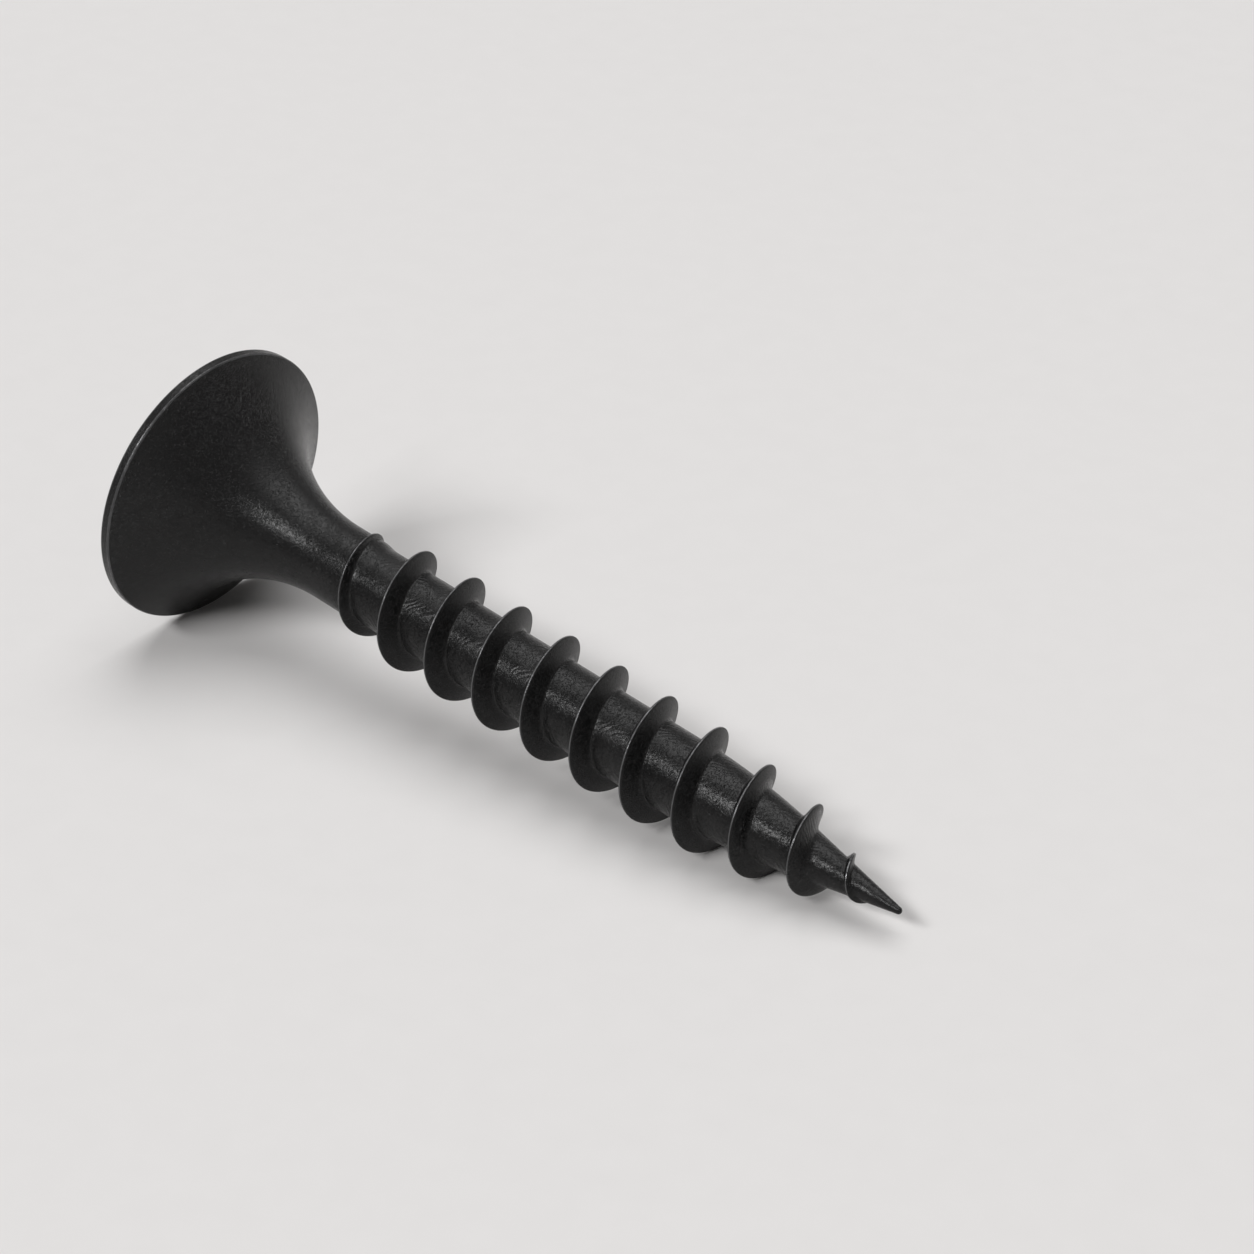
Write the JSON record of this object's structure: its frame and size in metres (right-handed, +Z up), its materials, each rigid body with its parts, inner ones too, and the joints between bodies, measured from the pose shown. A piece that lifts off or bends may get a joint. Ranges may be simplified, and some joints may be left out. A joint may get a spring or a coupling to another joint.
{
  "type": "drywall screw",
  "caption": "Black coarse-thread drywall screw with a bugle head, cross drive recess, plain neck and sharp point, lying on its side at rest.",
  "frame": {"origin": "on the floor under the middle of the lying screw", "axes": "+X along the screw towards its point, +Z up; the head's flat face looks towards -X"},
  "size_m": [0.0256, 0.0084, 0.0084],
  "materials": {
    "phosphated_steel": "black phosphate, oiled, satin, with bright rubbed edges"
  },
  "bodies": {
    "root": {"screw": "phosphated_steel"}
  },
  "joints": []
}
